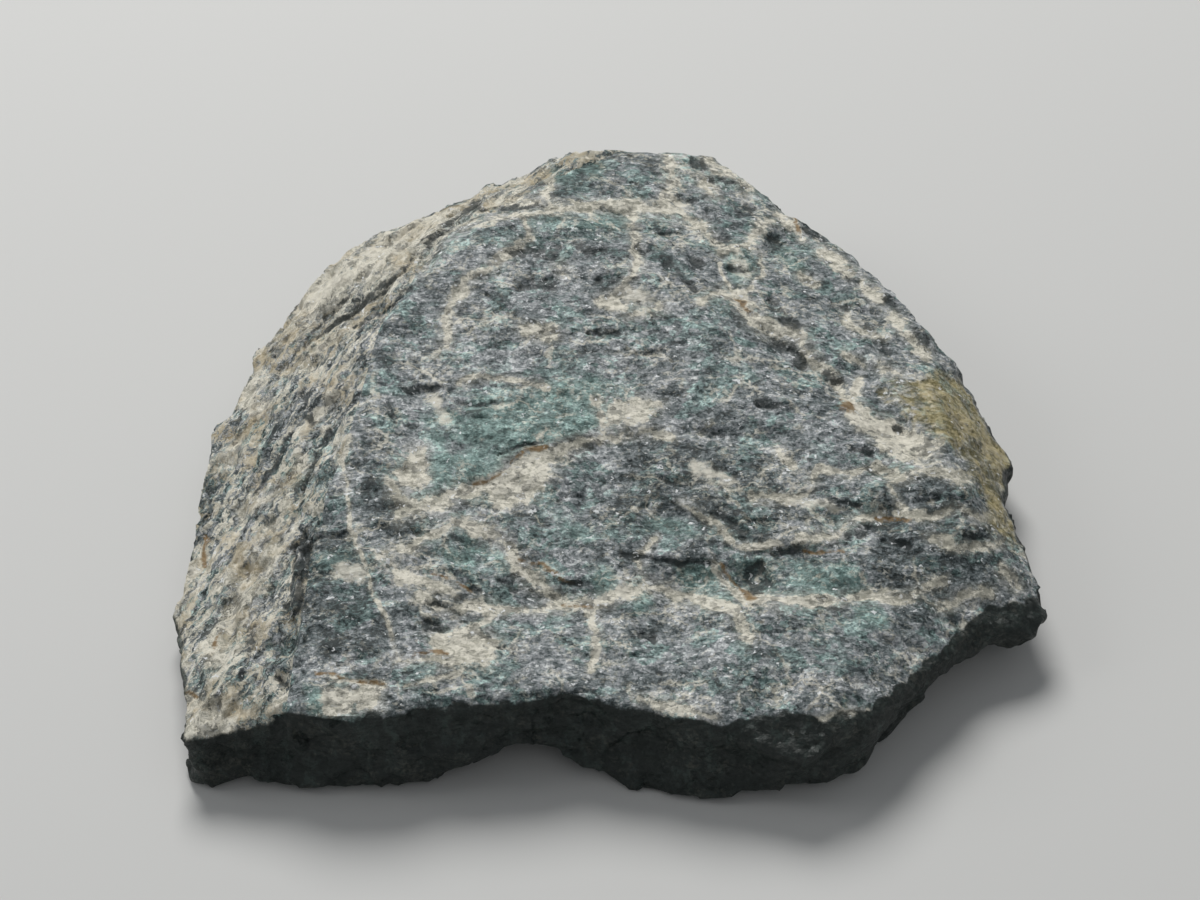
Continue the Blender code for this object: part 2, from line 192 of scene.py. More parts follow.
# Marks of one kind each: half width in pixels, and the line in pixels.
LINES = {
    "cream": (
        (7, ((400, 515), (423, 507), (460, 494), (492, 483), (513, 465), (551, 456), (583, 443))),
        (4, ((583, 443), (615, 437), (641, 431), (671, 438))),
        (6, ((487, 534), (500, 540), (512, 552), (520, 562))),
        (3, ((679, 502), (697, 510), (713, 521), (727, 537), (748, 546), (780, 543))),
        (5, ((380, 558), (396, 573), (433, 583), (452, 590))),
        (6, ((520, 572), (545, 590), (564, 606), (588, 603), (609, 599), (625, 588), (663, 588))),
        (5, ((663, 588), (679, 598), (716, 604), (735, 612), (748, 638))),
        (4, ((712, 562), (720, 574), (731, 590), (748, 601))),
        (5, ((752, 598), (784, 602), (833, 601), (866, 596), (900, 598), (945, 582))),
        (2, ((344, 476), (352, 528), (357, 549), (371, 587), (387, 619), (395, 653), (403, 669))),
        (3, ((395, 661), (420, 661), (453, 658))),
        (3, ((408, 684), (436, 680), (462, 672))),
        (3, ((330, 678), (350, 682), (384, 686))),
        (10, ((276, 540), (262, 562), (244, 596), (230, 630), (214, 656))),
        (7, ((188, 575), (178, 592), (176, 625))),
        (5, ((229, 690), (240, 715), (254, 712))),
        (5, ((490, 200), (534, 202), (557, 209), (596, 206), (638, 207), (680, 213))),
        (3, ((445, 232), (484, 221), (520, 215), (551, 213))),
        (5, ((546, 166), (546, 190), (548, 207))),
        (6, ((669, 155), (672, 182), (663, 207))),
        (3, ((526, 216), (529, 236))),
        (5, ((630, 214), (638, 246), (635, 272), (624, 288), (607, 300))),
        (5, ((518, 246), (498, 263), (473, 277), (456, 297), (448, 319), (445, 344))),
        (5, ((561, 266), (562, 272))),
        (4, ((725, 252), (744, 244), (766, 227))),
        (2, ((720, 262), (722, 280), (734, 290), (752, 289), (762, 276), (760, 256), (745, 244))),
        (7, ((739, 300), (750, 316), (772, 328), (798, 336), (808, 356))),
        (9, ((711, 157), (732, 170))),
        (4, ((789, 199), (796, 218), (802, 237))),
        (6, ((523, 330), (557, 334))),
        (3, ((459, 381), (484, 378), (523, 381), (546, 386))),
        (15, ((404, 256), (417, 238), (440, 212), (470, 192))),
        (10, ((272, 338), (296, 318), (322, 302), (352, 280), (385, 256))),
        (4, ((300, 352), (330, 330), (362, 304), (392, 284), (420, 254))),
        (3, ((284, 376), (310, 356), (336, 336), (360, 322))),
        (4, ((470, 192), (500, 184), (530, 180))),
        (6, ((262, 352), (252, 380), (244, 402))),
        (6, ((392, 484), (400, 500), (416, 508))),
        (5, ((486, 536), (470, 524), (452, 520), (430, 536))),
        (4, ((430, 536), (410, 548), (386, 552))),
        (5, ((420, 596), (440, 612), (470, 606), (500, 610))),
        (4, ((460, 640), (484, 622), (500, 610), (530, 612), (560, 606))),
        (4, ((590, 604), (598, 640), (592, 672))),
        (3, ((646, 590), (640, 560), (652, 540))),
        (4, ((820, 470), (806, 492), (780, 500), (752, 496))),
        (5, ((800, 540), (836, 536), (850, 522), (880, 516))),
        (4, ((900, 512), (930, 520), (958, 508), (990, 520))),
        (5, ((870, 470), (900, 476), (940, 470), (968, 480))),
        (4, ((930, 540), (960, 548), (1000, 544))),
        (4, ((860, 380), (852, 400), (858, 410))),
        (4, ((806, 356), (830, 372), (846, 396))),
        (5, ((600, 300), (630, 312), (660, 306))),
        (4, ((700, 300), (722, 290), (739, 300))),
        (4, ((680, 213), (700, 226), (725, 252))),
        (3, ((820, 472), (852, 476), (878, 463))),
        (4, ((780, 452), (793, 468))),
        (2.5, ((888, 484), (896, 497), (908, 512))),
        (5, ((1003, 570), (1018, 588))),
        (5, ((940, 608), (966, 598), (990, 592))),
        (4, ((606, 432), (604, 418), (596, 400))),
        (4, ((345, 440), (340, 462), (344, 478))),
        (5, ((240, 512), (262, 500), (290, 480), (306, 462))),
        (4, ((214, 470), (232, 450), (250, 424), (268, 404))),
        (4, ((300, 430), (322, 414), (336, 396))),
        (4, ((810, 722), (838, 714), (866, 712))),
        (4, ((640, 700), (672, 708), (714, 716))),
        (13, ((262, 330), (300, 304), (330, 286), (367, 262), (407, 228), (440, 202))),
        (5, ((700, 178), (716, 196))),
        (4, ((668, 196), (684, 206))),
        (4, ((740, 182), (752, 190))),
        (4, ((760, 225), (775, 222))),
        (5, ((780, 214), (792, 226))),
        (5, ((820, 250), (836, 262), (850, 274))),
        (4, ((800, 275), (815, 283))),
        (5, ((862, 285), (880, 300))),
        (4, ((845, 318), (862, 330), (884, 338))),
        (5, ((893, 315), (905, 330), (926, 356))),
        (4, ((846, 352), (862, 362))),
        (5, ((880, 366), (900, 376))),
    ),
    "rust": (
        (2.2, ((476, 484), (492, 479), (503, 472), (512, 459), (526, 450), (545, 449))),
        (2.2, ((522, 559), (541, 565), (553, 573), (572, 582))),
        (2.2, ((721, 560), (727, 572), (738, 588), (753, 598))),
        (1.8, ((317, 672), (341, 677), (357, 682), (384, 686))),
        (2, ((207, 540), (204, 566))),
        (2, ((224, 632), (216, 648))),
        (2, ((876, 520), (912, 520))),
        (2, ((806, 552), (842, 553))),
        (4, ((842, 406), (852, 408))),
        (2, ((564, 606), (590, 606))),
        (1.8, ((430, 572), (452, 580), (470, 592))),
        (1.8, ((738, 298), (750, 312))),
        (1.8, ((412, 656), (446, 652))),
        (1.8, ((796, 214), (802, 232))),
        (2, ((186, 694), (202, 697))),
    ),
    # Dark marks: partly dark grains and spots of the stone, and partly painted shade in cracks and under
    # the steps that face the camera.
    "dark": (
        (4, ((484, 209), (520, 208), (545, 206))),
        (4, ((352, 309), (387, 282), (402, 272), (425, 246), (450, 223), (480, 202))),
        (3, ((300, 340), (326, 318), (350, 300))),
        (5, ((422, 626), (434, 628))),
        (4, ((500, 648), (516, 650))),
        (4, ((470, 588), (478, 592))),
        (4, ((640, 636), (652, 640))),
        (4, ((566, 582), (580, 584))),
        (4, ((716, 470), (740, 476))),
        (4, ((830, 500), (860, 506))),
        (5, ((880, 540), (906, 548))),
        (4, ((920, 500), (940, 498))),
        (4, ((964, 540), (984, 536))),
        (4, ((856, 446), (872, 452))),
        (5, ((700, 430), (724, 434))),
        (5, ((760, 404), (790, 410))),
        (5, ((640, 350), (664, 352))),
        (4, ((560, 500), (584, 498))),
        (4, ((404, 390), (420, 388), (440, 386))),
        (7, ((516, 252), (560, 252))),
        (6, ((577, 249), (604, 249))),
        (8, ((521, 285), (553, 285))),
        (5, ((476, 280), (501, 272))),
        (5, ((596, 280), (623, 277))),
        (5, ((666, 263), (680, 274), (692, 289))),
        (6, ((688, 199), (694, 200))),
        (7, ((694, 162), (700, 163))),
        (5, ((712, 181), (732, 185))),
        (7, ((718, 237), (726, 239))),
        (4, ((730, 268), (757, 268))),
        (5, ((616, 184), (640, 186))),
        (5, ((576, 177), (584, 179))),
        (6, ((776, 342), (790, 348), (804, 362))),
        (6, ((844, 533), (872, 530))),
        (4, ((626, 556), (660, 562), (706, 562))),
        (5, ((776, 552), (800, 548))),
        (3, ((498, 456), (512, 448), (540, 444))),
        (5, ((716, 514), (728, 522), (744, 534))),
        (4, ((428, 605), (446, 607))),
        (4, ((414, 628), (440, 632))),
        (4, ((500, 582), (516, 588))),
        (5, ((300, 392), (306, 410), (312, 420))),
        (4, ((268, 666), (286, 686))),
        (3, ((294, 430), (276, 462), (258, 492))),
        (3, ((330, 430), (312, 462), (300, 492))),
        (3, ((250, 640), (240, 676))),
        (5, ((896, 429), (902, 430))),
        (4, ((560, 690), (600, 694))),
        (4, ((800, 214), (812, 226))),
        (4, ((660, 478), (690, 486))),
        (4, ((588, 332), (620, 330))),
        (4, ((460, 404), (500, 402))),
        (3, ((386, 402), (394, 424))),
        (5, ((655, 172), (660, 176))),
        (6, ((705, 216), (712, 218))),
        (6, ((735, 213), (752, 208))),
        (5, ((664, 232), (672, 236))),
        (6, ((640, 247), (648, 251))),
        (6, ((690, 262), (700, 268))),
        (7, ((776, 192), (786, 194))),
        (6, ((770, 243), (780, 247))),
        (7, ((812, 228), (824, 238))),
        (6, ((770, 300), (778, 305))),
        (7, ((786, 318), (797, 324))),
        (6, ((836, 305), (846, 312))),
        (6, ((850, 280), (858, 284))),
        (6, ((868, 312), (878, 318))),
        (6, ((888, 300), (896, 304))),
        (6, ((918, 338), (926, 342))),
        (7, ((874, 345), (886, 352))),
        (6, ((826, 376), (838, 382))),
        (6, ((822, 398), (832, 402))),
        (3, ((318, 338), (350, 314), (392, 286))),
        (3, ((356, 330), (388, 306), (410, 290))),
    ),
    "teal": (
        (9, ((551, 173), (596, 173))),
        (10, ((534, 222), (624, 222))),
        (12, ((790, 584), (820, 588), (850, 592))),
        (8, ((856, 610), (882, 620))),
        (9, ((468, 545), (486, 556), (500, 566))),
        (12, ((440, 552), (470, 560))),
        (10, ((286, 470), (302, 478))),
        (10, ((430, 420), (470, 418), (520, 424))),
        (8, ((434, 440), (452, 462))),
        (8, ((640, 592), (640, 610))),
        (10, ((650, 520), (690, 530))),
        (8, ((700, 598), (726, 600))),
        (9, ((780, 250), (800, 268))),
        (8, ((560, 520), (590, 540))),
        (7, ((320, 560), (345, 556))),
        (7, ((310, 692), (318, 712))),
    ),
    "pale": (
        (8, ((632, 296), (648, 300))),
        (7, ((436, 400), (444, 420))),
        (6, ((466, 520), (474, 528))),
        (7, ((700, 470), (730, 480))),
        (6, ((340, 570), (360, 574))),
        (5, ((792, 500), (830, 506))),
        (9, ((864, 422), (900, 438), (932, 450))),
        (9, ((268, 328), (300, 306), (330, 287), (367, 263), (407, 229), (440, 203))),
        (8, ((740, 262), (746, 276))),
    ),
    "olive": (
        (14, ((1000, 430), (1010, 480), (1012, 524))),
    ),
    "shade": (
        (16, ((940, 520), (980, 560))),
        (20, ((620, 510), (700, 500), (760, 520))),
        (12, ((560, 150), (640, 150))),
        (12, ((540, 184), (600, 186))),
    ),
}

# Patches of one kind each: the corners of their outlines in pixels. A mark comes to its full
# strength this many pixels inside its outline.
PATCH_EDGE = 6.0
PATCHES = {
    "cream": (
        ((505, 467), (545, 455), (553, 476), (529, 500), (497, 508), (490, 492)),
        ((396, 470), (407, 450), (424, 448), (430, 478), (414, 492), (398, 488)),
        ((846, 418), (860, 404), (886, 420), (924, 434), (946, 440), (930, 462), (902, 462), (864, 430)),
        ((430, 636), (470, 626), (500, 640), (486, 664), (440, 668)),
        ((325, 688), (352, 684), (357, 714), (323, 717)),
        ((361, 685), (384, 689), (381, 709), (356, 715)),
        ((181, 692), (228, 700), (240, 720), (215, 736), (185, 738)),
        ((603, 402), (640, 396), (664, 404), (640, 424), (608, 430)),
    ),
    "teal": (
        ((470, 392), (520, 386), (566, 378), (604, 376), (606, 424), (560, 446), (500, 452), (452, 440)),
        ((428, 452), (500, 446), (598, 424), (560, 444), (516, 454), (496, 473), (456, 488), (430, 492)),
        ((596, 566), (614, 564), (616, 596), (594, 598)),
        ((676, 564), (722, 562), (724, 594), (682, 598)),
        ((732, 562), (766, 556), (782, 592), (752, 596), (734, 580)),
        ((724, 250), (748, 246), (762, 266), (750, 286), (730, 284)),
        ((790, 562), (850, 560), (868, 578), (850, 600), (800, 598)),
    ),
    # Dark patches: the first, the slot beside the block, is painted shade on a wall that faces away from
    # the light.
    "dark": (
        ((293, 546), (309, 534), (312, 552), (308, 588), (304, 614), (290, 630), (286, 606), (293, 586)),
        ((261, 612), (254, 656), (243, 656), (248, 630)),
        ((734, 566), (764, 560), (778, 588), (754, 592), (738, 582)),
    ),
    "olive": (
        ((880, 392), (940, 374), (980, 386), (1000, 420), (1014, 470), (1014, 522), (988, 508),
         (972, 468), (944, 438), (908, 416)),
    ),
    "shade": (
        ((298, 560), (318, 534), (350, 530), (366, 575), (386, 625), (394, 662), (330, 656), (296, 642)),
        ((362, 478), (405, 490), (430, 520), (428, 548), (385, 540), (362, 510)),
        ((880, 470), (980, 470), (1020, 540), (1000, 600), (900, 630), (870, 560)),
        ((620, 440), (760, 450), (800, 520), (720, 540), (640, 500)),
    ),
}

KINDS = ("cream", "rust", "dark", "teal", "pale", "olive", "shade")

# The value of a mark's field far away from the mark.
FAR = -2.0


def link(obj):
    bpy.context.scene.collection.objects.link(obj)
    return obj


def camera_axes():
    """The camera's place in millimetres, and its right, up and forward directions."""
    tilt = math.radians(CAMERA_ELEVATION)
    back = np.array([0.0, -math.cos(tilt), math.sin(tilt)])
    eye = np.array(CAMERA_TARGET) + back * CAMERA_DISTANCE
    right = np.array([1.0, 0.0, 0.0])
    up = np.cross(right, -back)
    return eye, right, up, -back


def pixels_of(points):
    """Where points fall in the view, as columns of pixels from its top left corner."""
    eye, right, up, forward = camera_axes()
    per_pixel = SENSOR / IMAGE_WIDTH / LENS
    offset = points - eye
    depth = offset @ forward
    across = IMAGE_WIDTH / 2 + (offset @ right) / depth / per_pixel
    down = IMAGE_HEIGHT / 2 - (offset @ up) / depth / per_pixel
    return np.column_stack((across, down))


def step(value):
    """0 to 1, easing in and out."""
    held = np.clip(value, 0.0, 1.0)
    return held * held * (3.0 - 2.0 * held)


def beside_line(places, line):
    """Each place's distance to the line, its side (+1 where the line's direction turned by a quarter
    from x to y points to it), and the length of line to the nearer end."""
    best = np.full(len(places), 1e9)
    side = np.zeros(len(places))
    travelled = np.zeros(len(places))
    start_length = 0.0
    corners = np.array(line, float)
    for a, b in zip(corners[:-1], corners[1:]):
        along = b - a
        length = np.linalg.norm(along)
        share = np.clip(((places - a) @ along) / length**2, 0.0, 1.0)
        offset = places - (a + share[:, None] * along)
        distance = np.linalg.norm(offset, axis=1)
        nearer = distance < best
        cross = along[0] * offset[:, 1] - along[1] * offset[:, 0]
        best[nearer] = distance[nearer]
        side[nearer] = np.sign(cross[nearer])
        travelled[nearer] = start_length + share[nearer] * length
        start_length += length
    return best, side, np.minimum(travelled, start_length - travelled)


def inside(places, corners):
    """Which places lie inside the outline."""
    within = np.zeros(len(places), bool)
    x, y = places[:, 0], places[:, 1]
    for (x0, y0), (x1, y1) in zip(corners, corners[1:] + corners[:1]):
        crosses = (y0 > y) != (y1 > y)
        if y0 != y1:
            within ^= crosses & (x < x0 + (x1 - x0) * (y - y0) / (y1 - y0))
    return within


def mark_field(kind, pixels):
    """How far into the marks of one kind each pixel is: 1 at a line's middle, 0 at its edge, and
    negative outside it, down to FAR."""
    field = np.full(len(pixels), FAR)
    for half_width, line in LINES.get(kind, ()):
        distance = beside_line(pixels, line)[0]
        field = np.maximum(field, 1.0 - distance / half_width)
    for corners in PATCHES.get(kind, ()):
        distance = beside_line(pixels, corners + corners[:1])[0] / PATCH_EDGE
        depth = np.where(inside(pixels, corners), np.minimum(distance, 1.0), -distance)
        field = np.maximum(field, depth)
    return field


def wandered(pixels, points):
    """The pixels moved by smooth noise, so that a straight listed line comes out bent and ragged."""
    moved = pixels.copy()
    for number, (size, reach) in enumerate(WANDER):
        scale = (size, size, size)
        for axis in (0, 1):
            offset = WANDER_NOISE + WANDER_APART[0] * number + WANDER_APART[1] * axis
            moved[:, axis] += reach * noise_at(points, scale, offset)
    return moved


def noise_at(points, scale, offset):
    """Smooth noise, about -1 to 1, at points divided by scale, which may differ by axis."""
    spread = points / np.array(scale) + offset
    return np.array([noise.noise(Vector(p)) for p in spread])


def turned(points, degrees):
    """Points in axes that run along and across blades of that direction in plan."""
    angle = math.radians(degrees)
    along = points[:, 0] * math.cos(angle) + points[:, 1] * math.sin(angle)
    across = points[:, 1] * math.cos(angle) - points[:, 0] * math.sin(angle)
    return np.column_stack((along, across, points[:, 2]))


def chip_relief(points, size, height):
    """Flat chips: each cell of the space leans its own way, and bends to the next at its edge."""
    relief = np.empty(len(points))
    for i, row in enumerate(points / np.array(size)):
        point = Vector(row)
        total = 0.0
        weights = 0.0
        for distance, centre in zip(*noise.voronoi(point)):
            lean = noise.cell_vector(centre * CELL_SPREAD) * 2.0 - Vector((1.0, 1.0, 1.0))
            weight = math.exp(-CHIP_EDGE * distance * distance)
            total += weight * lean.dot(point - centre)
            weights += weight
        relief[i] = height * total / weights
    return relief


def flank_share(points):
    """1 on the left flank, 0 on the main face."""
    distance, side, _ = beside_line(points[:, :2], FLANK_EDGE)
    return step(0.5 - 0.5 * side * distance / FLANK_BLEND)


def read_points(mesh):
    points = np.empty(len(mesh.vertices) * 3)
    mesh.vertices.foreach_get("co", points)
    return points.reshape(-1, 3) / MM


def read_normals(mesh):
    normals = np.empty(len(mesh.vertices) * 3)
    mesh.vertices.foreach_get("normal", normals)
    return normals.reshape(-1, 3)


def neighbour_mean(mesh, values):
    """The mean of the values of each vertex's neighbours."""
    ends = np.empty(len(mesh.edges) * 2, np.int32)
    mesh.edges.foreach_get("vertices", ends)
    first, second = ends.reshape(-1, 2).T
    count = np.bincount(ends, minlength=len(values))
    columns = []
    for column in values.T:
        total = np.bincount(first, column[second], len(values))
        total += np.bincount(second, column[first], len(values))
        columns.append(total / count)
    return np.column_stack(columns)


def broad_normals(mesh):
    """Which way the surface faces when its chips and grains are smoothed away."""
    normals = read_normals(mesh)
    for _ in range(BROAD_ROUNDS):
        normals = 0.5 * normals + 0.5 * neighbour_mean(mesh, normals)
        normals /= np.linalg.norm(normals, axis=1)[:, None]
    return normals


def bake_modifiers(obj):
    """Replaces the object's mesh by what its modifiers make of it."""
    graph = bpy.context.evaluated_depsgraph_get()
    made = bpy.data.meshes.new_from_object(obj.evaluated_get(graph))
    obj.modifiers.clear()
    obj.data = made


def fine_copy(node):
    """A closed, even, fine mesh of the node's shape."""
    bm = bmesh.new()
    bm.from_mesh(node.data)
    bmesh.ops.remove_doubles(bm, verts=bm.verts[:], dist=WELD * MM)
    mesh = bpy.data.meshes.new("crystal_surface")
    bm.to_mesh(mesh)
    bm.free()
    piece = link(bpy.data.objects.new("crystal_surface", mesh))
    remesh = piece.modifiers.new("even", "REMESH")
    remesh.mode = "VOXEL"
    remesh.voxel_size = VOXEL * MM
    soften = piece.modifiers.new("soften", "SMOOTH")
    soften.factor = SOFTEN_FACTOR
    soften.iterations = SOFTEN_ROUNDS
    bake_modifiers(piece)
    return piece


def seen_share(points, normals):
    """1 where the surface faces the camera, 0 where it faces away."""
    eye = camera_axes()[0]
    toward = eye - points
    toward /= np.linalg.norm(toward, axis=1)[:, None]
    return step(np.einsum("ij,ij->i", normals, toward) / SEEN_SPAN)


def relief_of(points, normals, shares):
    """The height of blades and chips at each point, along its normal."""
    upward, flank = shares
    relief = np.zeros(len(points))
    face_share = upward * (1.0 - flank)
    groups = (
        (face_share > SMALL_SHARE, face_share, FACE_BLADES, FACE_CHIPS),
        (upward * flank > SMALL_SHARE, upward * flank, FLANK_BLADES, FLANK_CHIPS),
        (upward < 1.0 - SMALL_SHARE, 1.0 - upward, FACE_BLADES, WALL_CHIPS),
    )
    for chosen, share, direction, chips in groups:
        local = turned(points[chosen], direction)
        for length, width, height in chips:
            size = (length, width, width)
            relief[chosen] += share[chosen] * chip_relief(local, size, height)
    size = (GRAIN_SIZE, GRAIN_SIZE, GRAIN_SIZE)
    return relief + GRAIN_HEIGHT * noise_at(points, size, GRAIN_NOISE)


def mark_relief(pixels):
    """How far the steps and marks lower the surface."""
    lowered = np.zeros(len(pixels))
    for drop, run, line in STEPS:
        distance, side, from_end = beside_line(pixels, line)
        low = np.where(side > 0.0, np.clip(1.0 - distance / run, 0.0, 1.0), 0.0)
        lowered += drop * low * step(distance / STEP_FACE) * step(from_end / STEP_END)
    lowered += DARK_DEPTH * step(mark_field("dark", pixels) + DARK_SPREAD)
    lowered += CREAM_DEPTH * step(mark_field("cream", pixels) + CREAM_SPREAD)
    return lowered


def eased_steps(mesh, points):
    """The points with the solid's own steep steps eased into slopes."""
    pixels = pixels_of(points)
    weight = np.zeros(len(points))
    for line in EASED_LINES:
        distance = beside_line(pixels, line)[0]
        weight = np.maximum(weight, step(EASED_CORE - distance / EASED_REACH))
    weight *= np.clip(read_normals(mesh)[:, 2] + 1.0, 0.0, 1.0)
    for _ in range(EASED_ROUNDS):
        points = points + weight[:, None] * (neighbour_mean(mesh, points) - points)
    return points


def break_surface(piece, low, high):
    """Moves the vertices to the broken surface, inside the solid's box."""
    mesh = piece.data
    points = eased_steps(mesh, read_points(mesh))
    mesh.vertices.foreach_set("co", (points * MM).ravel())
    mesh.update()
    normals = read_normals(mesh)
    upward = step((normals[:, 2] - UPWARD_FROM) / UPWARD_SPAN)
    relief = relief_of(points, normals, (upward, flank_share(points)))
    pixels = wandered(pixels_of(points), points)
    relief -= mark_relief(pixels) * seen_share(points, normals) * upward
    moved = points + normals * relief[:, None]
    moved = np.clip(moved, low, high)
    mesh.vertices.foreach_set("co", (moved * MM).ravel())
    mesh.update()


def thin_out(piece):
    """Brings the mesh down to its most triangles, and spares the side that carries the marks."""
    mesh = piece.data
    triangles = sum(len(face.vertices) - 2 for face in mesh.polygons)
    away = 1.0 - seen_share(read_points(mesh), read_normals(mesh))
    group = piece.vertex_groups.new(name="away")
    for number, weight in enumerate(away):
        group.add((number,), AWAY_FLOOR + (1.0 - AWAY_FLOOR) * weight, "REPLACE")
    decimate = piece.modifiers.new("thin_out", "DECIMATE")
    decimate.ratio = min(1.0, MOST_TRIANGLES / triangles)
    decimate.vertex_group = "away"
    decimate.vertex_group_factor = 1.0
    bake_modifiers(piece)
    piece.vertex_groups.clear()


def keep_inside(piece, low, high):
    """Brings vertices that have strayed out of the solid's box back to its sides."""
    mesh = piece.data
    points = np.clip(read_points(mesh), low, high)
    mesh.vertices.foreach_set("co", (points * MM).ravel())
    mesh.update()


def add_field(mesh, name, values):
    attribute = mesh.attributes.new(name, "FLOAT", "POINT")
    attribute.data.foreach_set("value", values.astype(np.float32))


def front_foot_share(points):
    """1 in the low part of the front wall, 0 away from it."""
    share = step((FRONT_FOOT_Z - points[:, 2]) / FRONT_FOOT_RISE)
    share *= step((FRONT_FOOT_Y - points[:, 1]) / FRONT_FOOT_EDGE)
    return share * step((points[:, 0] - FRONT_FOOT_X) / FRONT_FOOT_EDGE)


def share_below_rim(points, pixels):
    """1 under the chipped rim of the front wall, 0 above it."""
    size = (RIM_CHIP_SIZE, RIM_CHIP_SIZE, RIM_CHIP_SIZE)
    chipped = RIM_CHIPS * noise_at(points, size, RIM_NOISE)
    rim_down = np.interp(pixels[:, 0], *np.array(RIM).T)
    from_rim = (pixels[:, 1] + chipped - rim_down) / RIM_EDGE
    return step(0.5 + 0.5 * from_rim)


def paint_fields(piece):
    """Stores, at each vertex, how far into each kind of mark it is, and which part it belongs to, which
    says where the walls' and the front wall's painted shade goes.
    """
    mesh = piece.data
    points = read_points(mesh)
    normals = broad_normals(mesh)
    seen = seen_share(points, normals)
    pixels = wandered(pixels_of(points), points)
    for kind in KINDS:
        field = mark_field(kind, pixels)
        add_field(mesh, kind, FAR + (field - FAR) * seen)
    wall = 1.0 - step((normals[:, 2] - WALL_UP) / WALL_SPAN)
    below_rim = share_below_rim(points, pixels) * seen
    add_field(mesh, "wall", np.maximum.reduce((wall, front_foot_share(points), below_rim)))
    forward = FRONT_FACING - normals[:, 1] + FRONT_TURN * np.maximum(normals[:, 0], 0.0)
    # The front wall and all under the rim on the seen side take near-black painted shade.
    add_field(mesh, "front", np.maximum(step(forward / FRONT_SPAN), below_rim))
    add_field(mesh, "flank", flank_share(points))


class Nodes:
    """Short ways to add nodes to a material and to join them."""

    def __init__(self, material):
        material.use_nodes = True
        self.tree = material.node_tree
        self.shader = self.tree.nodes["Principled BSDF"]

    def put(self, value, socket):
        if isinstance(value, bpy.types.NodeSocket):
            self.tree.links.new(value, socket)
        elif isinstance(value, (tuple, list)) and len(value) == 3 and socket.type == "RGBA":
            socket.default_value = (*value, 1.0)
        else:
            socket.default_value = value

    def attribute(self, name):
        node = self.tree.nodes.new("ShaderNodeAttribute")
        node.attribute_name = name
        return node.outputs["Fac"]

    def maths(self, operation, a, b=0.0, clamp=False):
        node = self.tree.nodes.new("ShaderNodeMath")
        node.operation = operation
        node.use_clamp = clamp
        self.put(a, node.inputs[0])
        self.put(b, node.inputs[1])
        return node.outputs[0]

    def vector(self, operation, a, b=(0.0, 0.0, 0.0), scale=None):
        node = self.tree.nodes.new("ShaderNodeVectorMath")
        node.operation = operation
        self.put(a, node.inputs[0])
        if scale is None:
            self.put(b, node.inputs[1])
        else:
            self.put(scale, node.inputs["Scale"])
        return node.outputs[0]

    def turned(self, vector, degrees):
        """The vector turned about Z so that its X runs along the blades."""
        spin = self.tree.nodes.new("ShaderNodeVectorRotate")
        spin.rotation_type = "Z_AXIS"
        self.put(vector, spin.inputs["Vector"])
        self.put(-math.radians(degrees), spin.inputs["Angle"])
        return spin.outputs[0]

    def noise(self, vector, scale, detail, roughness):
        node = self.tree.nodes.new("ShaderNodeTexNoise")
        self.put(vector, node.inputs["Vector"])
        self.put(scale, node.inputs["Scale"])
        self.put(detail, node.inputs["Detail"])
        self.put(roughness, node.inputs["Roughness"])
        return node

    def cells(self, vector, scale, feature="F1"):
        node = self.tree.nodes.new("ShaderNodeTexVoronoi")
        node.feature = feature
        self.put(vector, node.inputs["Vector"])
        self.put(scale, node.inputs["Scale"])
        return node

    def band(self, value, low, high, to_low=0.0, to_high=1.0):
        node = self.tree.nodes.new("ShaderNodeMapRange")
        node.interpolation_type = "SMOOTHSTEP"
        self.put(value, node.inputs["Value"])
        self.put(low, node.inputs["From Min"])
        self.put(high, node.inputs["From Max"])
        self.put(to_low, node.inputs["To Min"])
        self.put(to_high, node.inputs["To Max"])
        return node.outputs[0]

    def mix(self, share, a, b):
        node = self.tree.nodes.new("ShaderNodeMix")
        node.data_type = "RGBA"
        self.put(share, node.inputs[0])
        self.put(a, node.inputs[6])
        self.put(b, node.inputs[7])
        return node.outputs[2]

    def ramp(self, value, stops):
        node = self.tree.nodes.new("ShaderNodeValToRGB")
        elements = node.color_ramp.elements
        while len(elements) < len(stops):
            elements.new(0.5)
        for element, (place, colour) in zip(elements, stops):
            element.position = place
            element.color = (*colour, 1.0)
        self.put(value, node.inputs["Fac"])
        return node.outputs["Color"]


# Colours of the minerals, in linear values. Some stand for painted light: the lightest grain colours are
# partly painted sheen and glints, the sparks are painted glints, and the darkest wall colours are
# painted shade.
DEEP = (0.014, 0.023, 0.024)
SLATE_BLUE = (0.082, 0.106, 0.112)
GREY = (0.190, 0.216, 0.222)
# The two lightest grain colours are partly the grain's own pale tone and partly painted sheen and
# painted glints.
LAVENDER_SHEEN = (0.315, 0.330, 0.350)
GLINT = (0.640, 0.670, 0.670)
# Painted glints: single grains coloured near white to stand for flashes of light.
PAINTED_GLINT = (0.900, 0.920, 0.930)
TEAL_TINT = (0.78, 1.10, 1.00)
TEAL = (0.165, 0.262, 0.232)
CREAM = (0.430, 0.415, 0.345)
CREAM_PALE = (0.770, 0.735, 0.630)
RUST = (0.215, 0.120, 0.028)
OCHRE = (0.450, 0.350, 0.190)
OLIVE = (0.190, 0.160, 0.050)
TAN = (0.470, 0.390, 0.190)
# The walls' darker, greener copy of the top's colour: partly the mineral's deeper green and partly
# painted shade.
WALL_SHADE = (0.44, 0.50, 0.48)
# The front wall's near-black colours: painted shade.
FRONT_SHADE_DARK = (0.006, 0.012, 0.010)
FRONT_SHADE_GREY = (0.036, 0.057, 0.050)
GROUND = ((0.03, DEEP), (0.30, SLATE_BLUE), (0.52, GREY), (0.76, LAVENDER_SHEEN), (0.96, GLINT))

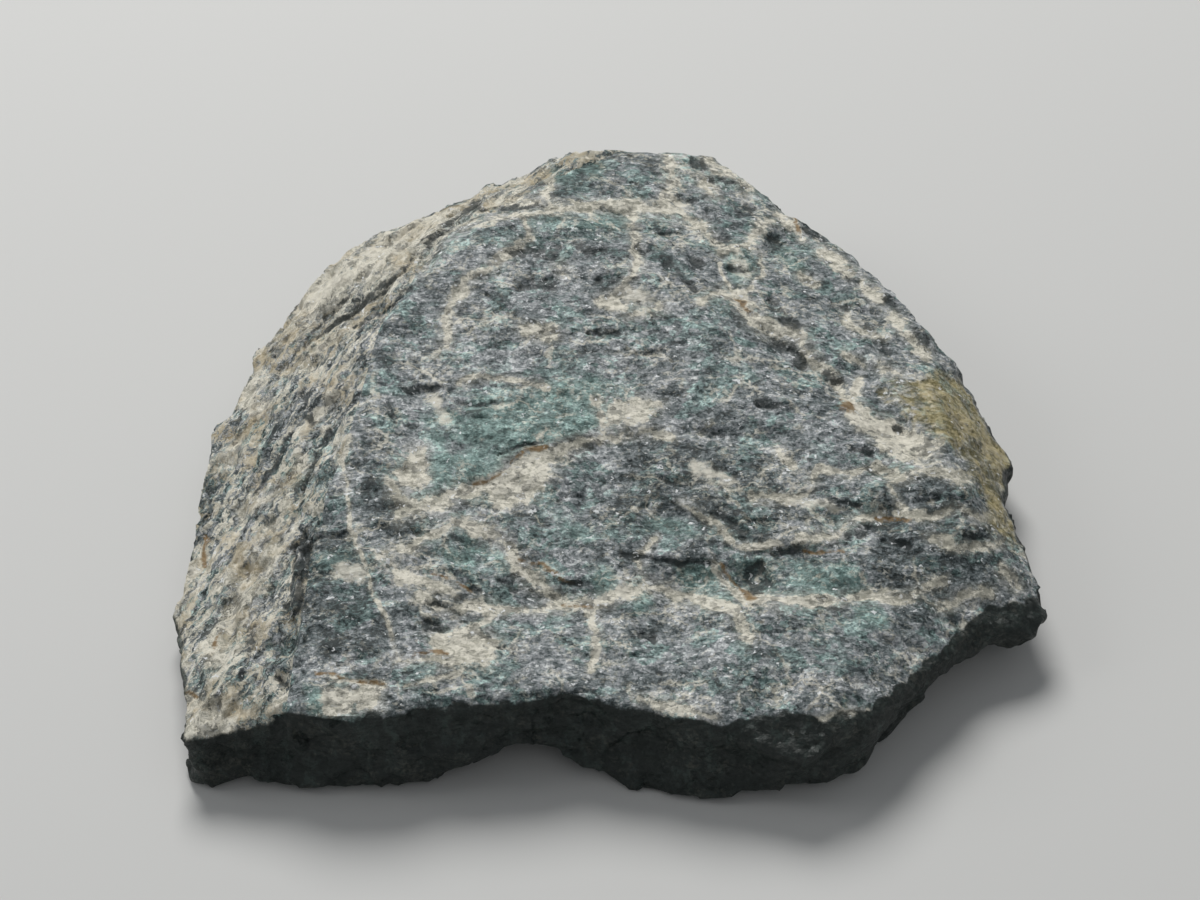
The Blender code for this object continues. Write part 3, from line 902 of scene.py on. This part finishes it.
# Patterns that the colours share, as repeats per millimetre, detail and roughness. Then how far the
# first one bends the others, in millimetres, and how much the next two roughen and fade a mark.
BEND = (1.3, 4.0, 0.65)
RAG = (3.2, 6.0, 0.85)
FADE = (0.8, 2.0, 0.5)
CLOUD = (0.45, 6.0, 0.7)
BEND_REACH = 1.1
MID_GREY = (0.5, 0.5, 0.5)
RAG_AMOUNT = 4.4
FADE_AMOUNT = 3.4

# The grain: cells of three sizes and noise of three sizes, as repeats per millimetre along the
# blades, across them and upward, and for noise also its detail and roughness. Then each one's share
# in the lightness, and the shares of two patterns in how teal, pale and dark a grain is and where
# it takes a painted glint.
JITTER = ((3.0, 4.4, 4.4), 2.0, 0.6)
JITTER_REACH = 0.45
PLATES = (0.80, 1.10, 1.10)
GRAINS = (2.9, 3.8, 3.8)
CRUMBS = (6.5, 8.0, 8.0)
CLUMPS = ((1.1, 1.4, 1.4), 5.0, 0.7)
STREAKS = ((1.3, 5.2, 5.2), 3.0, 0.65)
DUST = ((5.6, 7.0, 7.0), 3.0, 0.8)
TONE_SHARES = (0.22, 0.34, 0.38, 1.5, 0.7, 1.6)
TEAL_SHARES = (0.7, 0.5)
PALE_SHARES = (0.6, 0.9)
PAINTED_GLINT_SHARES = (1.0, 0.25)
DARK_SHARES = (0.5, 0.5)

# Threads of the left flank, coarse and fine, and where dark slivers and pale fibres show in them.
COARSE_THREADS = ((0.17, 1.3, 1.3), 5.0, 0.7)
FINE_THREADS = ((0.5, 3.6, 3.6), 4.0, 0.7)
COARSE_AMOUNT = 2.1
FINE_AMOUNT = 2.0
SLIVERS = (-0.36, -0.18, 0.75, 0.0)
FIBRES = (-0.02, 0.12, 0.0, 0.95)

# Each kind of mark: how far in it starts to show, how far in it is full, and how strong it gets.
MASKS = {
    "shade": (-1.0, 1.5, 0.28),
    "teal": (-0.7, 1.0, 1.0),
    "cream": (-0.25, 0.30, 0.96),
    "pale": (-0.4, 0.9, 0.75),
    "rust": (-0.5, 0.9, 0.85),
    "olive": (-1.2, 1.2, 0.85),
    "dark": (0.0, 0.8, 0.88),
}

# Ranges of a pattern's value, with the strengths at the two ends where those aren't 0 and 1.
TEAL_GRAINS = (0.60, 0.95, 0.0, 0.8)
CREAM_DUST = (0.50, 1.2, 0.0, 0.75)
VEINLETS = (0.006, 0.040, 0.8, 0.0)
VEINLET_CLOUDS = (0.46, 0.58)
HALO = (-1.9, 0.6, 0.0, 0.28)
CREAM_TONES = (0.15, 0.65)
OCHRE_CLOUDS = (0.46, 0.64, 0.0, 0.6)
SKIN_TONES = (0.2, 0.8)
THICK_SKIN = (0.38, 0.54, 0.50, 1.0)
BESIDE_VEINS = (0.05, 0.30, 0.0, 0.55)
DARK_GRAINS = (0.62, 0.80)
# Where a grain takes a painted glint.
PAINTED_GLINT_RANGE = (1.14, 1.20, 0.0, 0.75)
FRONT_SHADE_TONES = (0.46, 0.80)
WALL_EDGE = (0.15, 0.85)
ROUGHNESS = (0.1, 0.9, 0.60, 0.36)

# How strongly one pattern adds to another.
SHEET_TEAL = 0.22
CLOUD_AMOUNT = 2.4
DUST_RAG = 0.35
DUST_GRAINS = 1.4
SKIN_RAG = 0.04
FRONT_GRAIN = 0.14
FRONT_CREAM = 0.15
WALL_RAG = 0.35
CREAM_ROUGHNESS = 0.25

# The net of thin veinlets and the streaks of the front wall, as repeats per millimetre, and the
# streaks' detail and roughness.
VEINLET_NET = (0.30, 0.48, 0.48)
WALL_STREAKS = ((1.6, 1.6, 0.35), 6.0, 0.7)

# Facets of the grain, as repeats per millimetre, and how far they lean. Then the relief that the
# lightness gives, with its depth in millimetres.
FACETS = (4.0, 7.0, 7.0)
FACET_LEAN = 0.6
BUMP_STRENGTH = 0.8
BUMP_DEPTH = 0.04


class StoneNodes(Nodes):
    """The crystal's nodes, with the patterns that its colours share."""

    def __init__(self, material):
        super().__init__(material)
        texture = self.tree.nodes.new("ShaderNodeTexCoord")
        self.place = self.vector("SCALE", texture.outputs["Object"], scale=1.0 / MM)
        bend = self.centred(self.noise(self.place, *BEND).outputs["Color"], BEND_REACH)
        self.bent = self.vector("ADD", self.place, bend)
        self.rag = self.around_half(self.noise(self.place, *RAG).outputs["Fac"], RAG_AMOUNT)
        self.fade = self.around_half(self.noise(self.place, *FADE).outputs["Fac"], FADE_AMOUNT)
        self.cloud = self.noise(self.bent, *CLOUD).outputs["Fac"]
        self.flank = self.maths("GREATER_THAN", self.attribute("flank"), 0.5)
        face_local = self.turned(self.place, FACE_BLADES)
        self.flank_local = self.turned(self.bent, FLANK_BLADES)
        self.local = self.mix(self.flank, face_local, self.flank_local)

    def around_half(self, value, amount):
        """The value's distance from one half, times the amount."""
        return self.maths("MULTIPLY", self.maths("SUBTRACT", value, 0.5), amount)

    def centred(self, colour, reach):
        """A random colour as an offset that goes both ways from zero."""
        return self.vector("SCALE", self.vector("SUBTRACT", colour, MID_GREY), scale=reach)

    def added(self, first, *others):
        total = first
        for value in others:
            total = self.maths("ADD", total, value)
        return total

    def scaled(self, value, amount):
        return self.maths("MULTIPLY", value, amount)

    def weighed(self, values, shares):
        return self.added(*[self.scaled(value, share) for value, share in zip(values, shares)])

    def stretched_noise(self, vector, scale, detail, roughness):
        return self.noise(self.vector("MULTIPLY", vector, scale), 1.0, detail, roughness)

    def cell_values(self, vector, scale):
        """Three random values for each grain of that size."""
        cells = self.cells(self.vector("MULTIPLY", vector, scale), 1.0)
        parts = self.tree.nodes.new("ShaderNodeSeparateColor")
        self.put(cells.outputs["Color"], parts.inputs[0])
        return parts.outputs

    def mask(self, kind):
        """Where marks of the kind show: ragged at the edges, and wider here and fainter there."""
        low, high, most = MASKS[kind]
        ragged = self.added(self.attribute(kind), self.rag, self.fade)
        return self.band(ragged, low, high, 0.0, most)


def groundmass(nodes):
    """Lightness of the groundmass, how teal, pale and dark each grain is, and where a grain takes a
    painted glint.
    """
    jitter = nodes.stretched_noise(nodes.local, *JITTER).outputs["Color"]
    uneven = nodes.vector("ADD", nodes.local, nodes.centred(jitter, JITTER_REACH))
    plates = nodes.cell_values(uneven, PLATES)
    grains = nodes.cell_values(uneven, GRAINS)
    crumbs = nodes.cell_values(uneven, CRUMBS)
    clumps = nodes.stretched_noise(nodes.local, *CLUMPS).outputs["Fac"]
    streaks = nodes.stretched_noise(nodes.local, *STREAKS).outputs["Fac"]
    dust = nodes.stretched_noise(nodes.local, *DUST).outputs["Fac"]
    tone = 0.5
    for value, amount in zip((plates[0], grains[0], crumbs[0], clumps, streaks, dust), TONE_SHARES):
        tone = nodes.maths("ADD", tone, nodes.around_half(value, amount))
    return {
        "tone": tone,
        "teal": nodes.weighed((plates[1], grains[1]), TEAL_SHARES),
        "pale": nodes.weighed((crumbs[1], clumps), PALE_SHARES),
        "painted_glint": nodes.weighed((crumbs[2], grains[2]), PAINTED_GLINT_SHARES),
        "dark": nodes.weighed((grains[2], plates[2]), DARK_SHARES),
    }


def flank_threads(nodes):
    """Long threads along the blades of the left flank, around zero."""
    coarse = nodes.stretched_noise(nodes.flank_local, *COARSE_THREADS).outputs["Fac"]
    fine = nodes.stretched_noise(nodes.flank_local, *FINE_THREADS).outputs["Fac"]
    return nodes.added(nodes.around_half(coarse, COARSE_AMOUNT), nodes.around_half(fine, FINE_AMOUNT))


def shaded_tone(nodes, tone, threads):
    """The lightness, less the flank's dark slivers and the marked shades."""
    slivers = nodes.maths("MULTIPLY", nodes.band(threads, *SLIVERS), nodes.flank)
    return nodes.maths("SUBTRACT", nodes.maths("SUBTRACT", tone, slivers), nodes.mask("shade"))


def with_teal(nodes, colour, teal_grain):
    """Teal: a tint that leaves the grain showing, in sheets and in scattered grains."""
    sheet = nodes.mask("teal")
    share = nodes.maths("MAXIMUM", sheet, nodes.band(teal_grain, *TEAL_GRAINS))
    colour = nodes.mix(share, colour, nodes.vector("MULTIPLY", colour, TEAL_TINT))
    return nodes.mix(nodes.scaled(sheet, SHEET_TEAL), colour, TEAL)


def cream_dust(nodes, pale_grain):
    """Cream between the grains, in clouds."""
    dust = nodes.added(
        nodes.around_half(nodes.cloud, CLOUD_AMOUNT),
        nodes.scaled(nodes.rag, DUST_RAG),
        nodes.around_half(pale_grain, DUST_GRAINS),
    )
    return nodes.band(dust, *CREAM_DUST)


def thin_veinlets(nodes):
    net = nodes.cells(nodes.vector("MULTIPLY", nodes.bent, VEINLET_NET), 1.0, "DISTANCE_TO_EDGE")
    thin = nodes.band(net.outputs["Distance"], *VEINLETS)
    return nodes.maths("MULTIPLY", thin, nodes.band(nodes.cloud, *VEINLET_CLOUDS))


def cream_share_of(nodes, halo, dust, threads):
    """All the cream: marked veins and their halo, veinlets, dust, and fibres of the flank."""
    fibres = nodes.maths("MULTIPLY", nodes.band(threads, *FIBRES), nodes.flank)
    share = nodes.mask("cream")
    for other in (halo, thin_veinlets(nodes), dust, fibres):
        share = nodes.maths("MAXIMUM", share, other)
    return share


def with_cream(nodes, colour, tone, share):
    cream = nodes.mix(nodes.band(tone, *CREAM_TONES), CREAM, CREAM_PALE)
    ochre_share = nodes.maths("MULTIPLY", nodes.band(nodes.cloud, *OCHRE_CLOUDS), nodes.flank)
    return nodes.mix(share, colour, nodes.mix(ochre_share, cream, OCHRE))


def with_olive_skin(nodes, colour, tone):
    """The olive and tan skin of the right end, thin here and thick there."""
    skin_tone = nodes.added(tone, nodes.around_half(nodes.cloud, CLOUD_AMOUNT))
    skin = nodes.mix(nodes.band(skin_tone, *SKIN_TONES), OLIVE, TAN)
    thick = nodes.added(nodes.cloud, nodes.scaled(nodes.rag, SKIN_RAG))
    thick = nodes.band(thick, *THICK_SKIN)
    return nodes.mix(nodes.maths("MULTIPLY", nodes.mask("olive"), thick), colour, skin)


def with_dark_shade_and_painted_glints(nodes, colour, grain, halo):
    """Dark cracks and marks, partly the stone's dark grains and partly painted shade in cracks and under
    steps; dark grains beside the veins; and painted glints on single grains.
    """
    colour = nodes.mix(nodes.mask("dark"), colour, DEEP)
    beside_veins = nodes.band(halo, *BESIDE_VEINS)
    dark_grains = nodes.maths("MULTIPLY", nodes.band(grain["dark"], *DARK_GRAINS), beside_veins)
    colour = nodes.mix(dark_grains, colour, DEEP)
    # Painted glints: single grains coloured near white.
    return nodes.mix(nodes.band(grain["painted_glint"], *PAINTED_GLINT_RANGE), colour, PAINTED_GLINT)


def with_walls(nodes, colour, tone, dust):
    """The broken walls are darker and greener, partly the mineral's deeper green and partly painted
    shade, and the front one is nearly black with painted shade.
    """
    streaks = nodes.stretched_noise(nodes.bent, *WALL_STREAKS).outputs["Fac"]
    front_tone = nodes.added(streaks, nodes.around_half(tone, FRONT_GRAIN))
    # The front wall's near-black colour is painted shade; its streaks and cream dust are its own.
    front = nodes.mix(nodes.band(front_tone, *FRONT_SHADE_TONES), FRONT_SHADE_DARK, FRONT_SHADE_GREY)
    front = nodes.mix(nodes.scaled(dust, FRONT_CREAM), front, CREAM)
    shaded = nodes.vector("MULTIPLY", colour, WALL_SHADE)
    wall_colour = nodes.mix(nodes.attribute("front"), shaded, front)
    wall = nodes.added(nodes.attribute("wall"), nodes.scaled(nodes.rag, WALL_RAG))
    return nodes.mix(nodes.band(wall, *WALL_EDGE), colour, wall_colour)


def facet_normal(nodes, tone):
    """Each tiny cleavage facet leans its own way, so some of them flash."""
    cells = nodes.cells(nodes.vector("MULTIPLY", nodes.local, FACETS), 1.0)
    lean = nodes.centred(cells.outputs["Color"], FACET_LEAN)
    geometry = nodes.tree.nodes.new("ShaderNodeNewGeometry")
    tilted = nodes.vector("NORMALIZE", nodes.vector("ADD", geometry.outputs["Normal"], lean))
    bump = nodes.tree.nodes.new("ShaderNodeBump")
    bump.inputs["Strength"].default_value = BUMP_STRENGTH
    bump.inputs["Distance"].default_value = BUMP_DEPTH * MM
    nodes.put(tone, bump.inputs["Height"])
    nodes.put(tilted, bump.inputs["Normal"])
    return bump.outputs["Normal"]


def crystal_material():
    material = bpy.data.materials.new("grandidierite_broken")
    nodes = StoneNodes(material)
    grain = groundmass(nodes)
    threads = flank_threads(nodes)
    tone = shaded_tone(nodes, grain["tone"], threads)
    dust = cream_dust(nodes, grain["pale"])
    halo = nodes.band(nodes.attribute("cream"), *HALO)
    cream_share = cream_share_of(nodes, halo, dust, threads)

    colour = nodes.ramp(tone, GROUND)
    colour = with_teal(nodes, colour, grain["teal"])
    colour = with_cream(nodes, colour, tone, cream_share)
    colour = nodes.mix(nodes.mask("pale"), colour, CREAM_PALE)
    colour = nodes.mix(nodes.mask("rust"), colour, RUST)
    colour = with_olive_skin(nodes, colour, tone)
    colour = with_dark_shade_and_painted_glints(nodes, colour, grain, halo)
    colour = with_walls(nodes, colour, tone, dust)

    rough = nodes.band(tone, *ROUGHNESS)
    rough = nodes.maths("ADD", rough, nodes.scaled(cream_share, CREAM_ROUGHNESS), clamp=True)
    nodes.put(colour, nodes.shader.inputs["Base Color"])
    nodes.put(rough, nodes.shader.inputs["Roughness"])
    nodes.put(facet_normal(nodes, tone), nodes.shader.inputs["Normal"])
    return material


def make_crystal(node, box):
    piece = fine_copy(node)
    low, high = (np.array(corner) / MM for corner in box)
    break_surface(piece, low, high)
    thin_out(piece)
    keep_inside(piece, low, high)
    paint_fields(piece)
    piece.data.shade_smooth()
    piece.data.set_sharp_from_angle(angle=math.radians(SHARP_ANGLE))
    piece.data.materials.clear()
    piece.data.materials.append(crystal_material())
    return piece


FLOOR_COLOUR = (0.62, 0.62, 0.61)
FLOOR_ROUGHNESS = 0.8
FLOOR_HALF_WIDTH = 2000.0


def floor_material():
    material = bpy.data.materials.new("floor")
    nodes = Nodes(material)
    nodes.put(FLOOR_COLOUR, nodes.shader.inputs["Base Color"])
    nodes.put(FLOOR_ROUGHNESS, nodes.shader.inputs["Roughness"])
    return material


def make_floor():
    mesh = bpy.data.meshes.new("floor")
    half = FLOOR_HALF_WIDTH * MM
    corners = [(-half, -half, 0.0), (half, -half, 0.0), (half, half, 0.0), (-half, half, 0.0)]
    mesh.from_pydata(corners, [], [(0, 1, 2, 3)])
    floor = link(bpy.data.objects.new("floor", mesh))
    mesh.materials.append(floor_material())


def make_camera():
    eye, right, up, forward = camera_axes()
    data = bpy.data.cameras.new("camera")
    data.lens = LENS
    data.sensor_width = SENSOR
    data.clip_start = CLIP_START * MM
    camera = link(bpy.data.objects.new("camera", data))
    camera.location = Vector(eye) * MM
    camera.rotation_euler = Vector(forward).to_track_quat("-Z", "Y").to_euler()
    bpy.context.scene.camera = camera


# The lights: place and size in millimetres, power in watts, and colour.
LIGHTS = (
    ("key", (-60.0, 240.0, 300.0), 200.0, 1.22, (1.0, 0.99, 0.97)),
    ("side", (-340.0, 20.0, 220.0), 200.0, 0.20, (1.0, 1.0, 1.0)),
    ("fill", (100.0, -300.0, 360.0), 260.0, 0.10, (1.0, 1.0, 1.0)),
)
SKY_COLOUR = (0.86, 0.90, 0.93)
SKY_STRENGTH = 0.24


def make_light(name, place, size, power, colour):
    data = bpy.data.lights.new(name, "AREA")
    data.shape = "DISK"
    data.size = size * MM
    data.energy = power
    data.color = colour
    light = link(bpy.data.objects.new(name, data))
    light.location = Vector(place) * MM
    light.rotation_euler = (-Vector(place)).to_track_quat("-Z", "Y").to_euler()


def make_lights():
    for row in LIGHTS:
        make_light(*row)
    world = bpy.data.worlds.new("studio")
    world.use_nodes = True
    background = world.node_tree.nodes["Background"]
    background.inputs["Color"].default_value = (*SKY_COLOUR, 1.0)
    background.inputs["Strength"].default_value = SKY_STRENGTH
    bpy.context.scene.world = world
    bpy.context.scene.view_settings.view_transform = "Standard"


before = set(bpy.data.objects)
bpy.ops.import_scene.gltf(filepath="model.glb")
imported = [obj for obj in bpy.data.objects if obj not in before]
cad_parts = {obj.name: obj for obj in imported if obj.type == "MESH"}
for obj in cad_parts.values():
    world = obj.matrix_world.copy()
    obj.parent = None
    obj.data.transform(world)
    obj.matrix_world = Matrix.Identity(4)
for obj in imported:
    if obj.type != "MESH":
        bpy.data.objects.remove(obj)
solid_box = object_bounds()
crystal = make_crystal(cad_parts["crystal"], solid_box)
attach(crystal, "root")
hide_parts("crystal")
make_floor()
make_camera()
make_lights()
